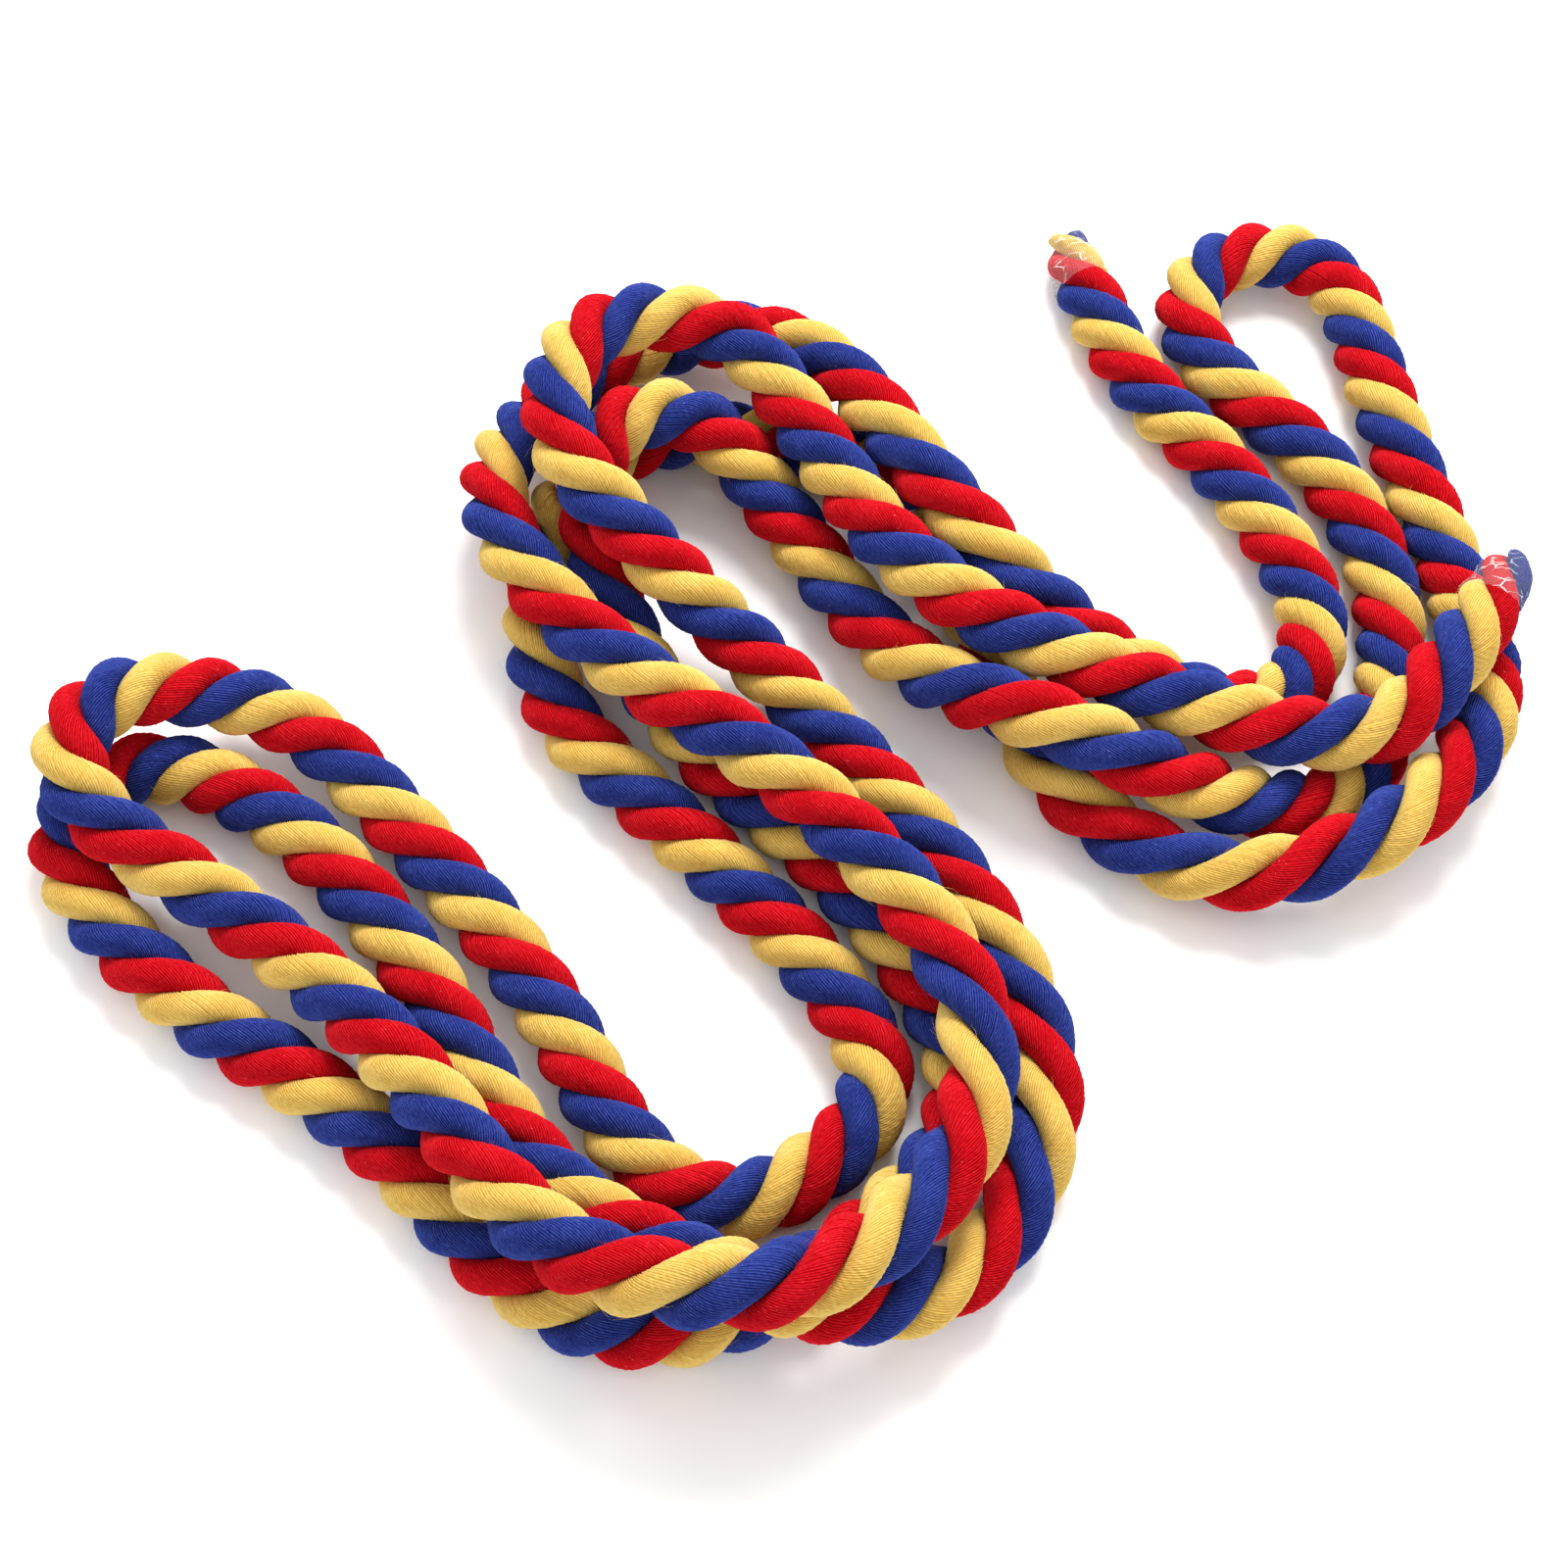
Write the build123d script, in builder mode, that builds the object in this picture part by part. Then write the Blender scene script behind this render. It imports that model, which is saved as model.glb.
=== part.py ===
from build123d import *
from math import pi, radians, tan
import os

os.makedirs("parts", exist_ok=True)

# The rope: three strands laid together, seen here as one plain round tube.
rope_diameter = 24
rope_radius = rope_diameter / 2
bend_share = 0.45

# Each end is squeezed by a clear tape whipping and cut off square behind it.
whipped_radius = 10.4
tape_radius = 11
neck_length = 5
first_tape_length = 20
last_tape_length = 12
cut_length = 4
cut_chamfer = 2

# Where the route is measured from, a little off the middle of the hank's outline.
route_origin = Vector(1, 3, 0)

# The rope's middle line as it lies, from its first end to its last: the middle line is
# rope_radius above the floor where the rope lies on it, and higher where it crosses over.
route = [
    # first end, down the inner leg of the right bend and back under the last leg
    (100, 210, 12), (115, 150, 12), (155, 100, 12), (180, 35, 15), (155, 0, 12), (100, 22, 17),
    # over the crossing stretch and round the top bend, lowest of the four runs
    (50, 65, 45), (15, 135, 33), (-20, 165, 17), (-70, 155, 12), (-98, 120, 16), (-108, 70, 38),
    # down the middle on top of its neighbours, and round the bottom bend at its highest
    (-70, 15, 38), (-5, -30, 38), (50, -95, 37), (55, -150, 37), (20, -195, 56), (-20, -210, 64),
    # out along the left arm to the upper fold at its tip
    (-75, -190, 46), (-115, -130, 33), (-170, -75, 14), (-235, -40, 38), (-225, 0, 41),
    # back along the top of the left arm and round the inside of the bottom bend
    (-170, 5, 18), (-130, -35, 12), (-80, -95, 12), (-50, -155, 12), (-15, -170, 12), (29, -134, 12),
    # up the middle on the floor, and inside the top bend
    (13, -95, 12), (-37, -41, 12), (-90, 10, 12), (-88, 85, 12), (-60, 120, 12), (-10, 120, 12),
    # under all the other runs to the outside of the right bend
    (55, 100, 12), (58, 40, 12), (85, -30, 12), (135, -65, 18), (190, -50, 32), (230, 0, 19),
    # up and round the right loop
    (227, 50, 12), (210, 130, 12), (200, 200, 15), (150, 200, 16), (138, 160, 12), (190, 105, 12),
    # down under the last leg, through the right bend and over the crossing stretch
    (205, 40, 12), (185, -30, 12), (140, -35, 18), (85, -20, 46), (35, 15, 20), (0, 75, 12),
    # round the top bend over the inner run, and down the middle
    (-34, 115, 37), (-73, 99, 42), (-68, 50, 22), (-40, -5, 12), (20, -60, 12), (56, -125, 12),
    # under the bottom bend to the outside of the left arm, and its lower fold
    (35, -165, 12), (-25, -205, 12), (-75, -200, 12), (-135, -135, 12), (-195, -100, 12),
    (-245, -45, 12), (-220, -10, 12), (-170, -30, 12), (-120, -85, 12), (-80, -160, 15),
    # across to the outside of the bottom bend, and up the middle
    (-30, -195, 41), (20, -205, 31), (60, -180, 12), (80, -125, 12), (55, -60, 13), (0, 10, 12),
    # over the whole top bend, and down the last leg to the last end
    (-55, 50, 50), (-85, 85, 62), (-75, 135, 56), (-25, 145, 47), (0, 110, 36), (35, 40, 41),
    (105, 0, 37), (180, -25, 35), (215, 10, 43), (237, 48, 37),
]
corners = [route_origin + Vector(*point) for point in route]
runs = [(after - before).length for before, after in zip(corners, corners[1:])]

# The rope is cut into stretches, each at the middle of the run after one of these points.
last_points = [3, 7, 11, 15, 19, 23, 27, 31, 35, 39, 43, 47, 51, 55, 59, 63, 67, 71, 75, 79]


def bend_radius(index):
    """The largest tangent arc that fits the two runs that meet at a corner of the route."""
    before = corners[index] - corners[index - 1]
    after = corners[index + 1] - corners[index]
    turn = radians(before.get_angle(after))
    return bend_share * min(before.length, after.length) / tan(turn / 2)


# The outward direction of each end, and where the tube stops and the squeezed end begins.
first_outward = (corners[0] - corners[1]).normalized()
last_outward = (corners[-1] - corners[-2]).normalized()
first_neck = corners[0] - first_outward * (neck_length + first_tape_length + cut_length)
last_neck = corners[-1] - last_outward * (neck_length + last_tape_length + cut_length)

# The rope's body, stretch by stretch, face to face.
cuts = [first_neck] + [(corners[i] + corners[i + 1]) / 2 for i in last_points] + [last_neck]
first_points = [1] + [i + 1 for i in last_points]
final_points = last_points + [len(corners) - 2]
all_radii = []
for number, (first, last) in enumerate(zip(first_points, final_points), 1):
    path_points = [cuts[number - 1]] + corners[first:last + 1] + [cuts[number]]
    radii = [bend_radius(i) for i in range(first, last + 1)]
    with BuildPart() as rope:
        with BuildLine() as path:
            FilletPolyline(*path_points, radius=radii)
        centreline = path.wire()
        with BuildSketch(Plane(origin=centreline @ 0, z_dir=centreline % 0)):
            Circle(rope_radius)
        sweep()
    rope.part.label = f"rope_{number:02d}"
    export_step(rope.part, f"parts/rope_{number:02d}.step")
    all_radii += radii
    plain_volume = pi * rope_radius ** 2 * centreline.length
    print(rope.part.label, "length", round(centreline.length, 1), "volume against section x length",
          round(rope.part.volume / plain_volume, 4))

print("bend radii", [round(radius) for radius in all_radii])
print("smallest bend radius", round(min(all_radii), 1), "longest run", round(max(runs), 1))

# The two squeezed ends, each with its whipping of clear tape.
ends = [
    ("first", first_neck, first_outward, first_tape_length),
    ("last", last_neck, last_outward, last_tape_length),
]
for name, neck, outward, tape_length in ends:
    whipping = Plane(origin=neck + outward * neck_length, z_dir=outward)

    with BuildPart() as rope_end:
        with BuildSketch(Plane(origin=neck, z_dir=outward)):
            Circle(rope_radius)
        with BuildSketch(whipping):
            Circle(whipped_radius)
        loft()
        with BuildSketch(whipping):
            Circle(whipped_radius)
        extrude(amount=tape_length + cut_length)
        cut_face = rope_end.faces().sort_by(Axis(neck, outward))[-1]
        chamfer(cut_face.edges(), length=cut_chamfer)
    rope_end.part.label = f"rope_{name}_end"
    export_step(rope_end.part, f"parts/rope_{name}_end.step")

    with BuildPart() as tape:
        with BuildSketch(whipping):
            Circle(tape_radius)
            Circle(whipped_radius, mode=Mode.SUBTRACT)
        extrude(amount=tape_length)
    tape.part.label = f"tape_{name}_end"
    export_step(tape.part, f"parts/tape_{name}_end.step")
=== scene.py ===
import math

import bpy
import numpy as np
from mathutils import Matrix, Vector


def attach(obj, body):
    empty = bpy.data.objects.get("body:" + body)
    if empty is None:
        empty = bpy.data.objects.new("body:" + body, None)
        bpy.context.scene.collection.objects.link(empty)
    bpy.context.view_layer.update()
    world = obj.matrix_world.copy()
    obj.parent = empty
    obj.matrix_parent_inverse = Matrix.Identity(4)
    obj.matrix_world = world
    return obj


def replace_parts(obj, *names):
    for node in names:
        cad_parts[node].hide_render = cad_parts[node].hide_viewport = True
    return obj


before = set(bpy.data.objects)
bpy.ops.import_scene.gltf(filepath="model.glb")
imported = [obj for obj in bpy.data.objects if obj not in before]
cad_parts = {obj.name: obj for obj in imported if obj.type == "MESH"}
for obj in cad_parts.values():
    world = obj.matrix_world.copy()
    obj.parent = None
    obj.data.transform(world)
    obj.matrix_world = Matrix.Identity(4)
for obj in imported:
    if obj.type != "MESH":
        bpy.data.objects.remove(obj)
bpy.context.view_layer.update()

# ---------------------------------------------------------------- sizes in metres, and counts

ROPE_DIAMETER = 0.024
# How thick the rope is at these distances from each end, 1 in the open and less under the tape.
FIRST_SQUEEZE = ([0, 0.002, 0.008, 0.016, 0.034], [0.60, 0.66, 0.78, 0.88, 1.0])
LAST_SQUEEZE = ([0, 0.002, 0.008, 0.020, 0.032], [0.52, 0.62, 0.78, 0.88, 1.0])

STRAND_COUNT = 3
STRAND_RADIUS = 0.0056
STRAND_SQUASH = 0.96
HELIX_RADIUS = ROPE_DIAMETER / 2 - STRAND_RADIUS
UNEVENNESS = 0.02
COUNT_BLEND = 0.02      # the lay changes smoothly over this much of the rope to each side
SQUARE_END = 0.01       # the strands turn square to the rope over this length at its ends
END_DOME = 0.0004       # how far the middle of a cut face stands out

YARNS = 32
YARN_RIDGE = 0.0005
YARN_ANGLE = math.radians(58)
YARN_SHIFT = 0.5        # how far round the strand a lighter yarn lies, for each unit of tone
YARN_LIFT = 0.0015      # how far out a lighter yarn stands, for each unit of tone
CREST_TONE = 0.14
# how much darker the gaps between yarns are painted, as painted shade in the recesses
GAP_PAINTED_SHADE = 0.80
TONE_SEED = 10
POINTS_PER_YARN = 2
RING_STEP = 0.0012
RINGS_PER_TONE = 12

FIBRES_PER_STRAND = 2600
FIBRE_RADIUS = 0.00004
FIBRE_RINGS = 5
FIBRE_SIDES = 3
FIBRE_TONE = 0.25
FIBRE_ROOT = 0.97       # where a fibre starts, as a share of the strand's radius
FIBRE_SEED = 50
TAPED_RINGS = 20        # how many of the strand's rings at each end have no fibres

FIRST_TAPE_LENGTH = 0.023
LAST_TAPE_LENGTH = 0.022
TAPE_SETBACK = 0.001
TAPE_CLEARANCE = 0.00018
TAPE_DIP = 0.0006       # half of how far the film sinks between two strands
TAPE_FILM = 0.00012
TAPE_FOLDS = 14
FOLD_SLANT = 400        # how fast a fold turns round the rope as it runs along it
TAPE_SIDES = 96
TAPE_RINGS = 40

COLOURS = ("red", "blue", "yellow")

CAMERA_LENS = 54
CAMERA_SENSOR = 36
CAMERA_OFFSET = Vector((-0.005, -0.395, 0.684))
CAMERA_TILT = math.radians(29)

FLOOR_SIZE = 8
FLOOR_SHADE = 0.96
SKY_STRENGTH = 1.12

# The middle line of the rope, from its first end to its last, as in part.py, in metres.
ROUTE_ORIGIN = Vector((0.001, 0.003, 0))
ROUTE = [
    # first end, down the inner leg of the right bend and back under the last leg
    (0.1, 0.21, 0.012), (0.115, 0.15, 0.012), (0.155, 0.1, 0.012), (0.18, 0.035, 0.015),
    (0.155, 0, 0.012), (0.1, 0.022, 0.017),
    # over the crossing stretch and round the top bend, lowest of the four runs
    (0.05, 0.065, 0.045), (0.015, 0.135, 0.033), (-0.02, 0.165, 0.017), (-0.07, 0.155, 0.012),
    (-0.098, 0.12, 0.016), (-0.108, 0.07, 0.038),
    # down the middle on top of its neighbours, and round the bottom bend at its highest
    (-0.07, 0.015, 0.038), (-0.005, -0.03, 0.038), (0.05, -0.095, 0.037), (0.055, -0.15, 0.037),
    (0.02, -0.195, 0.056), (-0.02, -0.21, 0.064),
    # out along the left arm to the upper fold at its tip
    (-0.075, -0.19, 0.046), (-0.115, -0.13, 0.033), (-0.17, -0.075, 0.014), (-0.235, -0.04, 0.038),
    (-0.225, 0, 0.041),
    # back along the top of the left arm and round the inside of the bottom bend
    (-0.17, 0.005, 0.018), (-0.13, -0.035, 0.012), (-0.08, -0.095, 0.012), (-0.05, -0.155, 0.012),
    (-0.015, -0.17, 0.012), (0.029, -0.134, 0.012),
    # up the middle on the floor, and inside the top bend
    (0.013, -0.095, 0.012), (-0.037, -0.041, 0.012), (-0.09, 0.01, 0.012), (-0.088, 0.085, 0.012),
    (-0.06, 0.12, 0.012), (-0.01, 0.12, 0.012),
    # under all the other runs to the outside of the right bend
    (0.055, 0.1, 0.012), (0.058, 0.04, 0.012), (0.085, -0.03, 0.012), (0.135, -0.065, 0.018),
    (0.19, -0.05, 0.032), (0.23, 0, 0.019),
    # up and round the right loop
    (0.227, 0.05, 0.012), (0.21, 0.13, 0.012), (0.2, 0.2, 0.015), (0.15, 0.2, 0.016),
    (0.138, 0.16, 0.012), (0.19, 0.105, 0.012),
    # down under the last leg, through the right bend and over the crossing stretch
    (0.205, 0.04, 0.012), (0.185, -0.03, 0.012), (0.14, -0.035, 0.018), (0.085, -0.02, 0.046),
    (0.035, 0.015, 0.02), (0, 0.075, 0.012),
    # round the top bend over the inner run, and down the middle
    (-0.034, 0.115, 0.037), (-0.073, 0.099, 0.042), (-0.068, 0.05, 0.022), (-0.04, -0.005, 0.012),
    (0.02, -0.06, 0.012), (0.056, -0.125, 0.012),
    # under the bottom bend to the outside of the left arm, and its lower fold
    (0.035, -0.165, 0.012), (-0.025, -0.205, 0.012), (-0.075, -0.2, 0.012), (-0.135, -0.135, 0.012),
    (-0.195, -0.1, 0.012), (-0.245, -0.045, 0.012), (-0.22, -0.01, 0.012), (-0.17, -0.03, 0.012),
    (-0.12, -0.085, 0.012), (-0.08, -0.16, 0.015),
    # across to the outside of the bottom bend, and up the middle
    (-0.03, -0.195, 0.041), (0.02, -0.205, 0.031), (0.06, -0.18, 0.012), (0.08, -0.125, 0.012),
    (0.055, -0.06, 0.013), (0, 0.01, 0.012),
    # over the whole top bend, and down the last leg to the last end
    (-0.055, 0.05, 0.05), (-0.085, 0.085, 0.062), (-0.075, 0.135, 0.056), (-0.025, 0.145, 0.047),
    (0, 0.11, 0.036), (0.035, 0.04, 0.041), (0.105, 0, 0.037), (0.18, -0.025, 0.035),
    (0.215, 0.01, 0.043), (0.237, 0.048, 0.037),
]

# How many strands have passed along the rope's top line by these points of the route. The
# count is what the eye follows along the rope, and it shows where the lay is tight or slack.
STRANDS_PASSED = [
    (0, 1.5), (3, 13.5), (4, 17.5), (5, 20.5), (8, 30.5), (10, 36.5), (12, 42.5), (14, 51),
    (16, 56), (18, 61.5), (21, 73.5), (23, 80), (25, 87.5), (30, 105), (32, 113), (36, 127.5),
    (40, 139.5), (41, 144.5), (42, 149), (45, 159.5), (47, 167.5), (48, 172.5), (49, 176),
    (52, 186), (54, 192.5), (62, 223.5), (64, 231.5), (66, 238), (69, 250.5), (70, 255.5),
    (73, 264), (74, 269), (84, 304),
]


# ---------------------------------------------------------------- camera, floor and light

def add_camera():
    """A camera above and in front of the hank, looking down at it."""
    data = bpy.data.cameras.new("camera")
    data.lens = CAMERA_LENS
    data.sensor_width = CAMERA_SENSOR
    camera = bpy.data.objects.new("camera", data)
    camera.location = ROUTE_ORIGIN + CAMERA_OFFSET
    camera.rotation_euler = (CAMERA_TILT, 0, 0)
    bpy.context.scene.collection.objects.link(camera)
    bpy.context.scene.camera = camera


def add_area_light(name, location, size, power):
    """A soft square lamp that looks at the middle of the hank."""
    data = bpy.data.lights.new(name, "AREA")
    data.size = size
    data.energy = power
    lamp = bpy.data.objects.new(name, data)
    lamp.location = location
    lamp.rotation_euler = (-Vector(location)).to_track_quat("-Z", "Y").to_euler()
    bpy.context.scene.collection.objects.link(lamp)


def add_studio():
    """A plain pale floor and plain soft light."""
    bpy.ops.mesh.primitive_plane_add(size=FLOOR_SIZE)
    floor = bpy.context.object
    floor.name = "floor"
    material = bpy.data.materials.new("floor")
    material.use_nodes = True
    shader = material.node_tree.nodes["Principled BSDF"]
    shader.inputs["Base Color"].default_value = (FLOOR_SHADE, FLOOR_SHADE, FLOOR_SHADE, 1)
    shader.inputs["Roughness"].default_value = 0.9
    floor.data.materials.append(material)

    world = bpy.data.worlds.new("studio")
    world.use_nodes = True
    world.node_tree.nodes["Background"].inputs["Color"].default_value = (1, 1, 1, 1)
    world.node_tree.nodes["Background"].inputs["Strength"].default_value = SKY_STRENGTH
    bpy.context.scene.world = world
    bpy.context.scene.view_settings.view_transform = "Standard"
    add_area_light("key", (0.2, 0.7, 1.3), 0.6, 20)


# ---------------------------------------------------------------- the rope's middle line

def read_route():
    """The points of the route's smooth NURBS spline, and the route point that each lies by."""
    curve = bpy.data.curves.new("route", "CURVE")
    curve.dimensions = "3D"
    curve.resolution_u = 24
    spline = curve.splines.new("NURBS")
    spline.points.add(len(ROUTE) - 1)
    for spline_point, place in zip(spline.points, ROUTE):
        spline_point.co = (*(ROUTE_ORIGIN + Vector(place)), 1)
    spline.order_u = 3
    spline.use_endpoint_u = True
    line = bpy.data.objects.new("route", curve)
    bpy.context.scene.collection.objects.link(line)
    bpy.context.view_layer.update()
    mesh = bpy.data.meshes.new_from_object(line)
    points = np.array([vertex.co for vertex in mesh.vertices])
    bpy.data.objects.remove(line)
    spans = len(ROUTE) - 2
    route_point = np.linspace(0, spans, len(points)) + 0.5
    route_point[0] = 0
    route_point[-1] = len(ROUTE) - 1
    return points, route_point


def unit(vectors):
    return vectors / np.linalg.norm(vectors, axis=1)[:, None]


def evenly(points, step):
    """The same line with its points a step apart, and each point's distance along it."""
    lengths = np.linalg.norm(np.diff(points, axis=0), axis=1)
    along = np.concatenate([[0], np.cumsum(lengths)])
    places = np.linspace(0, along[-1], round(along[-1] / step) + 1)
    line = np.stack([np.interp(places, along, points[:, k]) for k in range(3)], axis=1)
    return line, places, along


def smoothed(values, width):
    """A running mean over this many values, which keeps the first and the last as they are."""
    padded = np.pad(values, width // 2, mode="reflect", reflect_type="odd")
    means = np.convolve(padded, np.ones(width) / width, mode="same")
    return means[width // 2:len(values) + width // 2]


class Rope:
    """The rope's middle line with a frame at each point: along it, up from it and across it."""

    def __init__(self):
        points, route_point = read_route()
        self.centre, self.s, along = evenly(points, RING_STEP)
        self.length = self.s[-1]
        self.tangent = unit(np.gradient(self.centre, self.s, axis=0))
        up = np.array([0.0, 0.0, 1.0])
        self.up = unit(up - self.tangent * (self.tangent @ up)[:, None])
        self.across = np.cross(self.tangent, self.up)
        knots, counts = zip(*STRANDS_PASSED)
        knot_places = np.interp(knots, route_point, along)
        count = np.interp(self.s, knot_places, counts)
        self.count = smoothed(count, 2 * round(COUNT_BLEND / RING_STEP) + 1)
        self.tightness = self.end_profile()

    def end_profile(self):
        """How thick the rope is along its length, 1 in the open and less under the tape."""
        first = np.interp(self.s, *FIRST_SQUEEZE)
        last = np.interp(self.length - self.s, *LAST_SQUEEZE)
        return np.minimum(first, last)

    def strand(self, number):
        """One strand's middle line, wound to the left round the rope's, and its frame at each
        point. Near the rope's ends the frame turns square to the rope, so the cut is flat."""
        turned = 2 * math.pi / STRAND_COUNT * (number - self.count)
        outward = np.cos(turned)[:, None] * self.up + np.sin(turned)[:, None] * self.across
        wander = 1 + UNEVENNESS * np.sin(self.s * 61 + 2.1 * number) * np.sin(self.s * 23 + number)
        line = self.centre + outward * (HELIX_RADIUS * wander * self.tightness)[:, None]
        from_end = np.minimum(self.s, self.length - self.s)
        squared_off = np.clip(1 - from_end / SQUARE_END, 0, 1)[:, None]
        along = unit(np.gradient(line, self.s, axis=0))
        along = unit(along * (1 - squared_off) + self.tangent * squared_off)
        outward = unit(outward - along * np.sum(outward * along, axis=1)[:, None])
        return line, along, outward, np.cross(along, outward)


# ---------------------------------------------------------------- mesh helpers

def add_mesh(name, points, faces, material):
    """A smooth mesh piece that lies still with the rope."""
    mesh = bpy.data.meshes.new(name)
    mesh.from_pydata(points.tolist(), [], faces)
    mesh.polygons.foreach_set("use_smooth", [True] * len(mesh.polygons))
    mesh.materials.append(material)
    piece = bpy.data.objects.new(name, mesh)
    bpy.context.scene.collection.objects.link(piece)
    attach(piece, "root")
    return piece


def tube_faces(rings, sides):
    """The quads of a tube of this many rings, in order along it and then round it."""
    ring, side = np.meshgrid(np.arange(rings - 1), np.arange(sides), indexing="ij")
    after = (side + 1) % sides
    corners = [ring * sides + side, ring * sides + after,
               (ring + 1) * sides + after, (ring + 1) * sides + side]
    return np.stack(corners, axis=-1).reshape(-1, 4)


def set_numbers(mesh, name, values):
    """One number at each point of a mesh, for its material to read."""
    attribute = mesh.attributes.new(name, "FLOAT", "POINT")
    attribute.data.foreach_set("value", np.ascontiguousarray(values, np.float32).ravel())


def set_uv(mesh, rings, sides, along):
    """A UV map with u once round the tube and v along it in metres."""
    side = np.tile(np.arange(sides), rings - 1)
    ring = np.repeat(np.arange(rings - 1), sides)
    u = np.stack([side, side + 1, side + 1, side], axis=-1) / sides
    v = np.stack([along[ring], along[ring], along[ring + 1], along[ring + 1]], axis=-1)
    uv = np.zeros((len(mesh.loops), 2), np.float32)
    uv[:u.size] = np.stack([u, v], axis=-1).reshape(-1, 2)
    mesh.uv_layers.new(name="yarns").data.foreach_set("uv", uv.ravel())


# ---------------------------------------------------------------- materials

def add_node(nodes, kind, values=None, **settings):
    """A shader node with these settings, and these values on its sockets."""
    node = nodes.new("ShaderNode" + kind)
    for name, setting in settings.items():
        setattr(node, name, setting)
    for socket, value in (values or {}).items():
        node.inputs[socket].default_value = value
    return node


def link(nodes, source, target):
    nodes.id_data.links.new(source, target)


def new_material(name, values):
    """A material, its nodes and its shader with these values on its sockets."""
    material = bpy.data.materials.new(name)
    material.use_nodes = True
    nodes = material.node_tree.nodes
    shader = nodes["Principled BSDF"]
    for socket, value in values.items():
        shader.inputs[socket].default_value = value
    return material, nodes, shader


def cotton(name, deep, plain, pale):
    """Dyed cotton yarn: streaks along the yarns, painted shade in the gaps between yarns, faded
    patches and pale lint.
    """
    material, nodes, shader = new_material(name, {
        "Roughness": 1, "Specular IOR Level": 0.05,
        "Sheen Weight": 0.12, "Sheen Roughness": 0.5, "Sheen Tint": (*pale, 1)})

    uv = add_node(nodes, "UVMap", uv_map="yarns")
    stretch = add_node(nodes, "Mapping", {"Scale": (YARNS * 1.5, 900, 1)})
    link(nodes, uv.outputs["UV"], stretch.inputs["Vector"])
    streaks = add_node(nodes, "TexNoise", {"Scale": 1, "Detail": 4})
    link(nodes, stretch.outputs["Vector"], streaks.inputs["Vector"])

    place = add_node(nodes, "TexCoord")
    patches = add_node(nodes, "TexNoise", {"Scale": 90, "Detail": 3})
    link(nodes, place.outputs["Object"], patches.inputs["Vector"])

    tone = add_node(nodes, "Attribute", attribute_name="tone")
    with_streaks = add_node(nodes, "Math", {1: 0.8}, operation="MULTIPLY_ADD")
    link(nodes, streaks.outputs["Fac"], with_streaks.inputs[0])
    link(nodes, tone.outputs["Fac"], with_streaks.inputs[2])
    with_patches = add_node(nodes, "Math", {1: 0.35}, operation="MULTIPLY_ADD")
    link(nodes, patches.outputs["Fac"], with_patches.inputs[0])
    link(nodes, with_streaks.outputs["Value"], with_patches.inputs[2])

    # The deep end of the ramp colours the gaps between yarns as painted shade; the ramp also
    # spreads the yarns' own tones.
    ramp = add_node(nodes, "ValToRGB")
    ramp.color_ramp.elements[0].position = 0.15
    ramp.color_ramp.elements[0].color = (*deep, 1)
    ramp.color_ramp.elements[1].position = 0.95
    ramp.color_ramp.elements[1].color = (*pale, 1)
    middle = ramp.color_ramp.elements.new(0.5)
    middle.color = (*plain, 1)
    link(nodes, with_patches.outputs["Value"], ramp.inputs["Fac"])

    specks = add_node(nodes, "TexNoise", {"Scale": 1400, "Detail": 1})
    link(nodes, place.outputs["Object"], specks.inputs["Vector"])
    lint = add_node(nodes, "MapRange", {"From Min": 0.74, "From Max": 0.84, "To Max": 0.3})
    link(nodes, specks.outputs["Fac"], lint.inputs["Value"])
    with_lint = add_node(nodes, "Mix", {"B": (0.85, 0.80, 0.75, 1)}, data_type="RGBA")
    link(nodes, lint.outputs["Result"], with_lint.inputs["Factor"])
    link(nodes, ramp.outputs["Color"], with_lint.inputs["A"])
    link(nodes, with_lint.outputs["Result"], shader.inputs["Base Color"])

    bump = add_node(nodes, "Bump", {"Strength": 0.5, "Distance": 0.0003})
    link(nodes, streaks.outputs["Fac"], bump.inputs["Height"])
    link(nodes, bump.outputs["Normal"], shader.inputs["Normal"])
    return material


def clear_tape():
    """Clear film with a few white creases where it has lifted off the rope, painted in as
    highlights.
    """
    material, nodes, shader = new_material("clear_tape", {
        "Base Color": (0.95, 0.96, 0.97, 1), "Roughness": 0.1, "Coat Weight": 0.3})

    place = add_node(nodes, "TexCoord")
    stretch = add_node(nodes, "Mapping", {"Scale": (1, 2.2, 1)})
    link(nodes, place.outputs["Object"], stretch.inputs["Vector"])
    creases = add_node(nodes, "TexVoronoi", {"Scale": 110}, feature="DISTANCE_TO_EDGE")
    link(nodes, stretch.outputs["Vector"], creases.inputs["Vector"])
    crease = add_node(nodes, "MapRange", {"From Max": 0.045, "To Min": 1, "To Max": 0})
    link(nodes, creases.outputs["Distance"], crease.inputs["Value"])

    patches = add_node(nodes, "TexNoise", {"Scale": 150})
    link(nodes, place.outputs["Object"], patches.inputs["Vector"])
    lifted = add_node(nodes, "MapRange", {"From Min": 0.46, "From Max": 0.60})
    link(nodes, patches.outputs["Fac"], lifted.inputs["Value"])

    # The white crease lines are a painted highlight: the film turns white and less clear along
    # them.
    crease_highlight = add_node(nodes, "Math", operation="MULTIPLY")
    link(nodes, crease.outputs["Result"], crease_highlight.inputs[0])
    link(nodes, lifted.outputs["Result"], crease_highlight.inputs[1])
    alpha = add_node(nodes, "Math", {1: 0.4, 2: 0.03}, operation="MULTIPLY_ADD")
    link(nodes, crease_highlight.outputs["Value"], alpha.inputs[0])
    link(nodes, alpha.outputs["Value"], shader.inputs["Alpha"])
    return material


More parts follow.
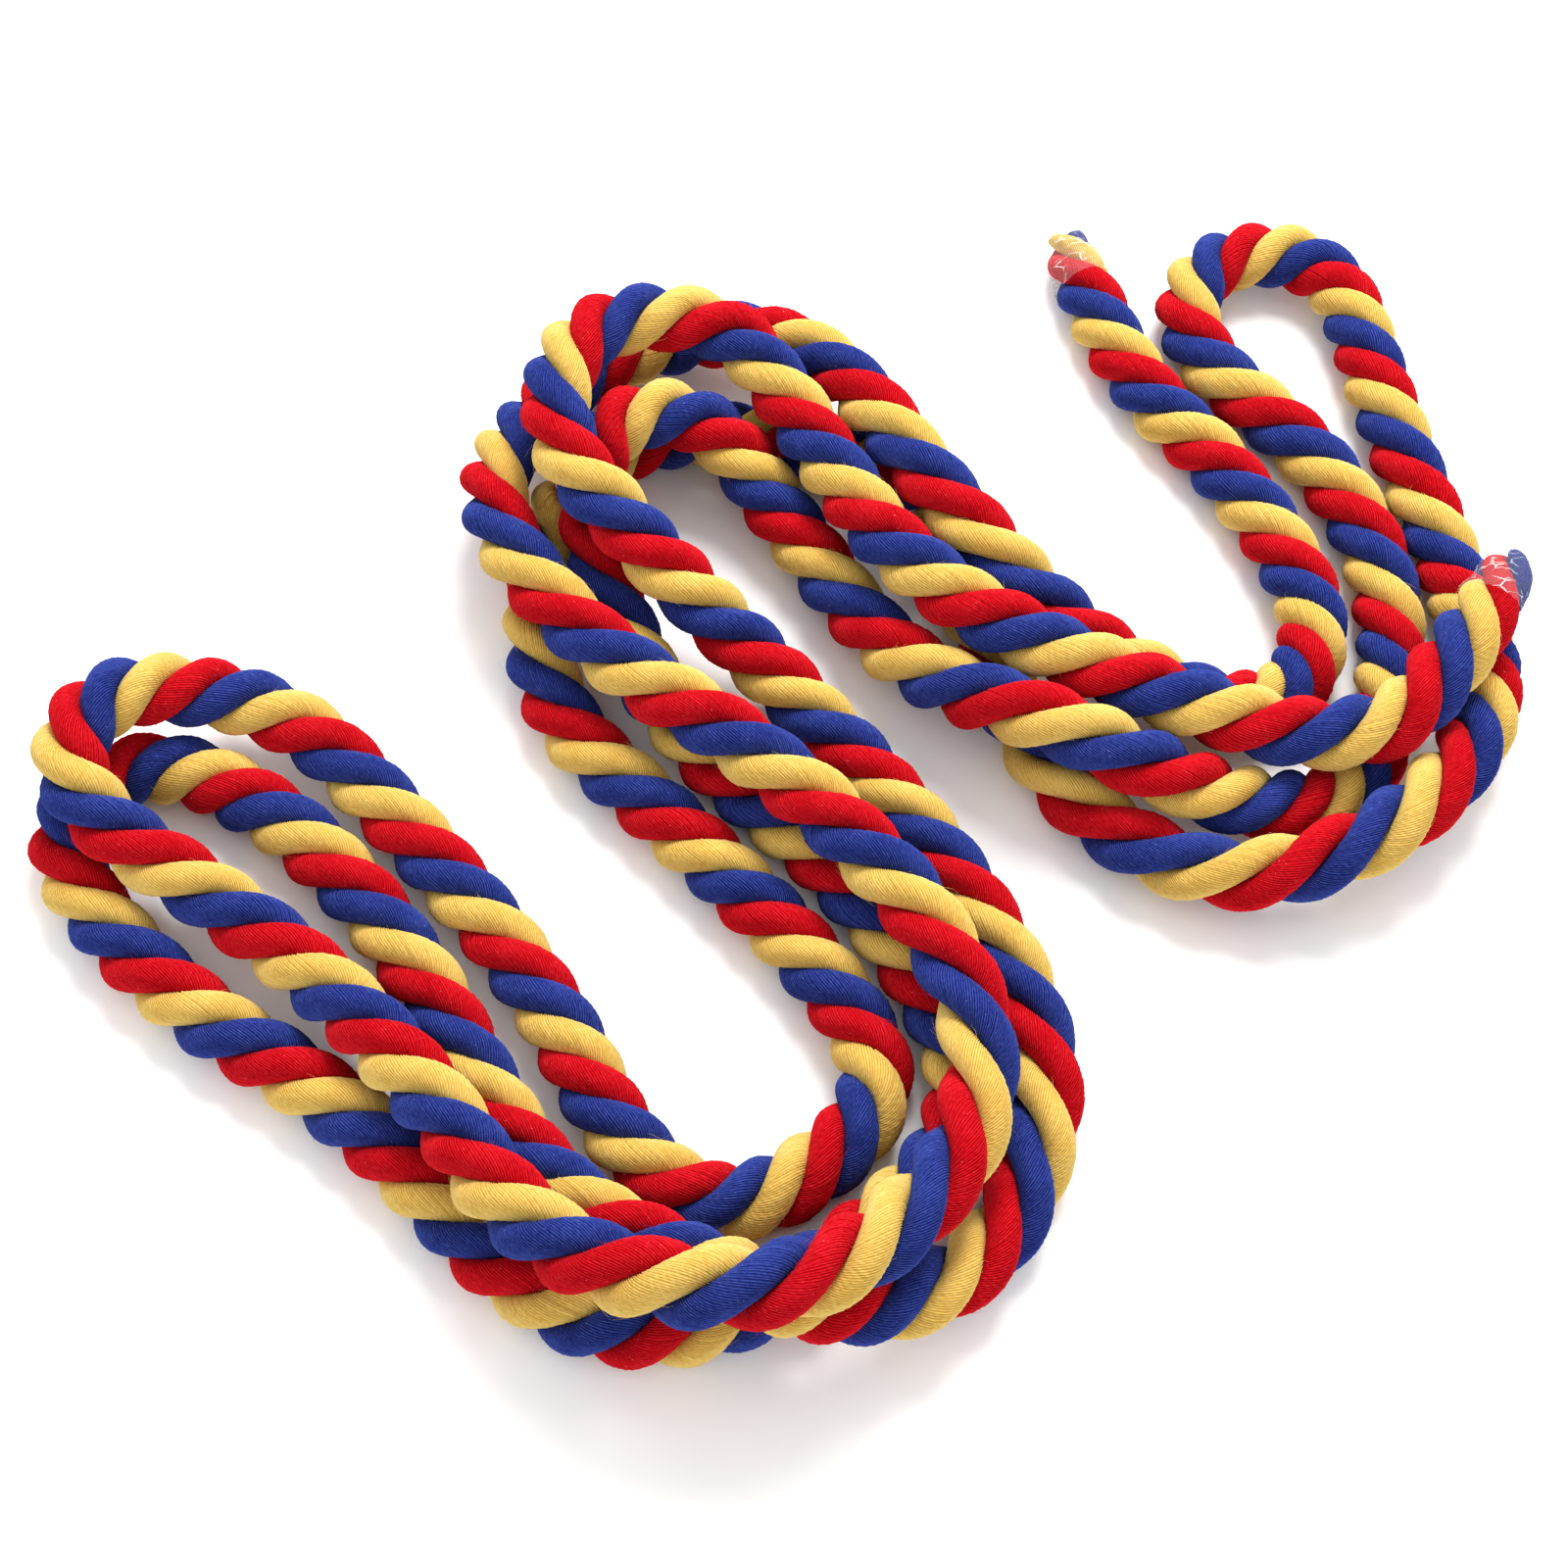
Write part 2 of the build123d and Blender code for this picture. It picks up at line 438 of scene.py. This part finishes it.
# The first colour of each cotton is its deep colour, which paints shade into the gaps between
# yarns.
COTTONS = {
    "red": cotton("red_cotton", (0.30, 0.0, 0.003), (0.60, 0.006, 0.013), (0.76, 0.03, 0.04)),
    "blue": cotton("blue_cotton", (0.007, 0.012, 0.09), (0.026, 0.045, 0.26), (0.075, 0.11, 0.40)),
    "yellow": cotton("yellow_cotton", (0.55, 0.30, 0.04), (0.82, 0.55, 0.135), (0.92, 0.70, 0.26)),
}


# ---------------------------------------------------------------- the strands

def yarn_tones(rings, seed):
    """How light each yarn of a strand is at each ring, as slow changes along each yarn."""
    random = np.random.default_rng(seed)
    knots = random.normal(0, 0.04, (rings // RINGS_PER_TONE + 2, YARNS))
    knots += random.normal(0, 0.02, (1, YARNS))
    ring = np.arange(rings) / RINGS_PER_TONE
    low = ring.astype(int)
    share = (ring - low)[:, None]
    return knots[low] * (1 - share) + knots[low + 1] * share


def add_strand(rope, number, colour):
    """A strand of twisted yarns, each a ridge that winds against the strand's own lay."""
    line, along, outward, aside = rope.strand(number)
    rings = len(line)
    sides = YARNS * POINTS_PER_YARN
    step = np.linalg.norm(np.diff(line, axis=0), axis=1)
    strand_s = np.concatenate([[0], np.cumsum(step)])
    twist = math.tan(YARN_ANGLE) * strand_s / STRAND_RADIUS

    side = np.arange(sides)
    angle = 2 * math.pi * side[None, :] / sides + twist[:, None]
    tones = np.repeat(yarn_tones(rings, TONE_SEED + number), POINTS_PER_YARN, axis=1)
    angle = angle + YARN_SHIFT * tones
    gap = (side % POINTS_PER_YARN == 0)[None, :]
    swell = 1 + UNEVENNESS * np.sin(rope.s * 37 + 1.7 * number)
    radius = STRAND_RADIUS * (swell * rope.tightness)[:, None] - YARN_RIDGE * gap
    radius = radius + YARN_LIFT * (tones - tones.mean()) * ~gap
    points = (line[:, None, :]
              + (radius * np.cos(angle))[:, :, None] * outward[:, None, :]
              + (radius * STRAND_SQUASH * np.sin(angle))[:, :, None] * aside[:, None, :])
    points = points.reshape(-1, 3)
    points[:, 2] = np.maximum(points[:, 2], 0)

    ends = np.array([line[0], line[-1]]) + np.array([-along[0], along[-1]]) * END_DOME
    faces = tube_faces(rings, sides).tolist()
    last = (rings - 1) * sides
    faces += [[len(points), (k + 1) % sides, k] for k in range(sides)]
    faces += [[len(points) + 1, last + k, last + (k + 1) % sides] for k in range(sides)]
    strand = add_mesh("strand_" + colour, np.concatenate([points, ends]), faces,
                      COTTONS[colour])
    # the gaps between yarns get a lower tone, which paints shade into them
    tone = np.clip(CREST_TONE + tones - GAP_PAINTED_SHADE * gap, -0.5, 0.5)
    set_numbers(strand.data, "tone", np.concatenate([tone.ravel(), [0, 0]]))
    set_uv(strand.data, rings, sides, strand_s)
    return strand


def add_fuzz(rope, number, colour):
    """Loose cotton fibres that stand off a strand, each a thin curved thread."""
    line, along, outward, aside = rope.strand(number)
    random = np.random.default_rng(FIBRE_SEED + number)
    count = FIBRES_PER_STRAND
    ring = random.integers(TAPED_RINGS, len(line) - TAPED_RINGS, count)
    angle = random.uniform(-1.7, 1.7, count)
    out = np.cos(angle)[:, None] * outward[ring] + np.sin(angle)[:, None] * aside[ring]
    side = np.cross(along[ring], out)
    heading = random.uniform(0.2, 1.3, count)[:, None]
    way = np.cos(heading) * along[ring] + np.sin(heading) * side
    way = way * random.choice([-1, 1], count)[:, None]
    length = random.uniform(0.0015, 0.005, count)[:, None]
    lift = random.uniform(0.1, 0.6, count)[:, None]
    curl = random.uniform(-0.5, 0.5, count)[:, None]
    start = line[ring] + out * STRAND_RADIUS * FIBRE_ROOT
    points = []
    for step in range(FIBRE_RINGS):
        t = step / (FIBRE_RINGS - 1)
        place = start + length * (way * t + out * lift * t * (1.1 - 0.6 * t) + side * curl * t * t)
        for corner in range(FIBRE_SIDES):
            turn = 2 * math.pi * corner / FIBRE_SIDES
            spoke = math.cos(turn) * out + math.sin(turn) * side
            points.append(place + spoke * FIBRE_RADIUS * (1 - 0.7 * t))
    points = np.stack(points, axis=1).reshape(-1, 3)
    points[:, 2] = np.maximum(points[:, 2], 0)
    one = tube_faces(FIBRE_RINGS, FIBRE_SIDES)
    first_points = FIBRE_RINGS * FIBRE_SIDES * np.arange(FIBRES_PER_STRAND)
    faces = (one[None, :, :] + first_points[:, None, None]).reshape(-1, 4).tolist()
    fuzz = add_mesh("fuzz_" + colour, points, faces, COTTONS[colour])
    set_numbers(fuzz.data, "tone", np.full(len(points), FIBRE_TONE))
    return fuzz


# ---------------------------------------------------------------- the taped ends

def add_tape(rope, name, start, stop, node, seed):
    """Clear tape wound round an end of the rope: it dips between the strands and crinkles."""
    random = np.random.default_rng(seed)
    sides = TAPE_SIDES
    rings = TAPE_RINGS
    places = np.linspace(start, stop, rings)
    ring = np.searchsorted(rope.s, places).clip(1, len(rope.s) - 1)
    share = ((places - rope.s[ring - 1]) / (rope.s[ring] - rope.s[ring - 1]))[:, None]

    def at(values):
        return values[ring - 1] * (1 - share) + values[ring] * share

    centre = at(rope.centre)
    up = unit(at(rope.up))
    across = unit(at(rope.across))
    tight = np.interp(places, rope.s, rope.tightness)[:, None]
    count = np.interp(places, rope.s, rope.count)[:, None]
    angle = 2 * math.pi * np.arange(sides)[None, :] / sides
    lobes = np.cos(STRAND_COUNT * angle + 2 * math.pi * count)
    radius = tight * (ROPE_DIAMETER / 2 + TAPE_CLEARANCE + TAPE_DIP * (lobes - 1))
    for _ in range(TAPE_FOLDS):
        around = random.integers(3, 15)
        beside = random.uniform(-3, 3)
        phase = random.uniform(0, 6.28)
        depth = random.uniform(0.00005, 0.00025)
        fold = np.sin(around * angle + beside * places[:, None] * FOLD_SLANT + phase)
        radius = radius + depth * (1 - np.abs(fold)) ** 4
    skins = []
    for thickness in (0.0, TAPE_FILM):
        spokes = np.cos(angle)[:, :, None] * up[:, None, :]
        spokes = spokes + np.sin(angle)[:, :, None] * across[:, None, :]
        skins.append(centre[:, None, :] + (radius + thickness)[:, :, None] * spokes)
    points = np.concatenate([skins[0].reshape(-1, 3), skins[1].reshape(-1, 3)])
    points[:, 2] = np.maximum(points[:, 2], 0)
    outer = tube_faces(rings, sides) + rings * sides
    inner = tube_faces(rings, sides)[:, ::-1]
    side = np.arange(sides)
    after = (side + 1) % sides
    base = rings * sides
    last = (rings - 1) * sides
    rim_one = np.stack([side, after, after + base, side + base], axis=1)
    rim_two = np.stack([last + side + base, last + after + base, last + after, last + side], axis=1)
    faces = np.concatenate([outer, inner, rim_one, rim_two]).tolist()
    tape = add_mesh(name, points, faces, TAPE)
    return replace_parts(tape, node)


TAPE = clear_tape()

add_camera()
rope = Rope()
strands = [add_strand(rope, number, colour) for number, colour in enumerate(COLOURS)]
fuzz = [add_fuzz(rope, number, colour) for number, colour in enumerate(COLOURS)]
tapes = [
    add_tape(rope, "tape_first", TAPE_SETBACK, TAPE_SETBACK + FIRST_TAPE_LENGTH,
             "tape_first_end", 1),
    add_tape(rope, "tape_last", rope.length - TAPE_SETBACK - LAST_TAPE_LENGTH,
             rope.length - TAPE_SETBACK, "tape_last_end", 2),
]
rope_nodes = [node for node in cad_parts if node.startswith("rope_")]
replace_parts(strands[0], *rope_nodes)

add_studio()
